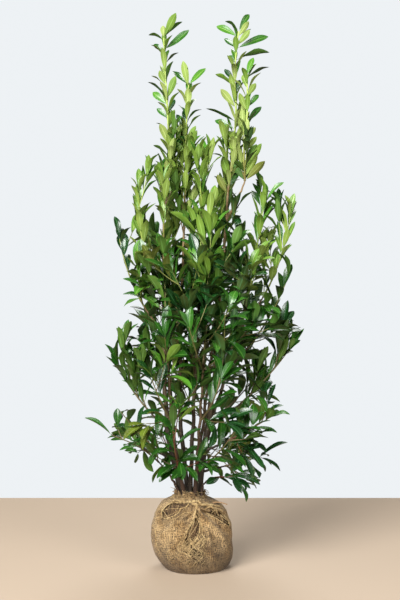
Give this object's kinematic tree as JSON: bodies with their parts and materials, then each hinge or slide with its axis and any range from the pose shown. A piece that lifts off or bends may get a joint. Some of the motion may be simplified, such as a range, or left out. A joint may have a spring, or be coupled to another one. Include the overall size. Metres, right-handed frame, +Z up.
{
  "type": "cherry laurel shrub on a burlap-wrapped root ball",
  "caption": "Tall shrub with many stems and glossy evergreen leaves, standing on a round root ball wrapped in burlap.",
  "frame": {"origin": "on the flat underside of the root ball, below the middle of the stems' feet", "axes": "+Z up along the stems, -Y the front as pictured, +X to the right of someone who faces the plant"},
  "size_m": [0.8091, 0.5969, 2.0044],
  "materials": {
    "burlap": "coarse open weave, matt",
    "soil": "crumbly, matt",
    "bark": "smooth young bark with pores, matt",
    "leaves": "leathery, glossy above and dull below",
    "new_leaves": "soft new leaves, light satin"
  },
  "bodies": {
    "root": {"bough_leader_twin": "bark", "bough_left_high": "bark", "bough_left_lower": "bark", "bough_left_middle": "bark", "bough_left_shoot": "bark", "bough_right_bottom": "bark", "bough_right_high": "bark", "bough_right_lower": "bark", "bough_right_middle": "bark", "bough_right_upper": "bark", "burlap_wrap": "burlap", "foliage_back_left": "leaves", "foliage_back_right": "leaves", "foliage_centre": "leaves", "foliage_front_left": "leaves", "foliage_front_right": "leaves", "foliage_leader_twin": "new_leaves", "foliage_left_high": "leaves", "foliage_left_leader": "new_leaves", "foliage_left_low": "leaves", "foliage_left_lower": "leaves", "foliage_left_middle": "leaves", "foliage_left_second": "new_leaves", "foliage_left_shoot": "new_leaves", "foliage_low_twig": "leaves", "foliage_right_bottom": "leaves", "foliage_right_high": "leaves", "foliage_right_leader": "new_leaves", "foliage_right_lower": "leaves", "foliage_right_middle": "leaves", "foliage_right_second": "leaves", "foliage_right_upper": "leaves", "foliage_spray_01": "leaves", "foliage_spray_02": "leaves", "foliage_spray_03": "leaves", "foliage_spray_04": "leaves", "foliage_spray_05": "leaves", "foliage_spray_06": "leaves", "foliage_spray_07": "leaves", "foliage_spray_08": "leaves", "foliage_spray_09": "leaves", "foliage_spray_10": "leaves", "foliage_spray_11": "leaves", "foliage_spray_12": "leaves", "foliage_spray_13": "leaves", "foliage_spray_14": "leaves", "foliage_spray_15": "leaves", "foliage_spray_16": "leaves", "soil_ball": "soil", "stem_back_left": "bark", "stem_back_right": "bark", "stem_centre": "bark", "stem_front_left": "bark", "stem_front_right": "bark", "stem_left_leader": "bark", "stem_left_low": "bark", "stem_left_second": "bark", "stem_low_twig": "bark", "stem_right_leader": "bark", "stem_right_second": "bark"}
  },
  "joints": []
}
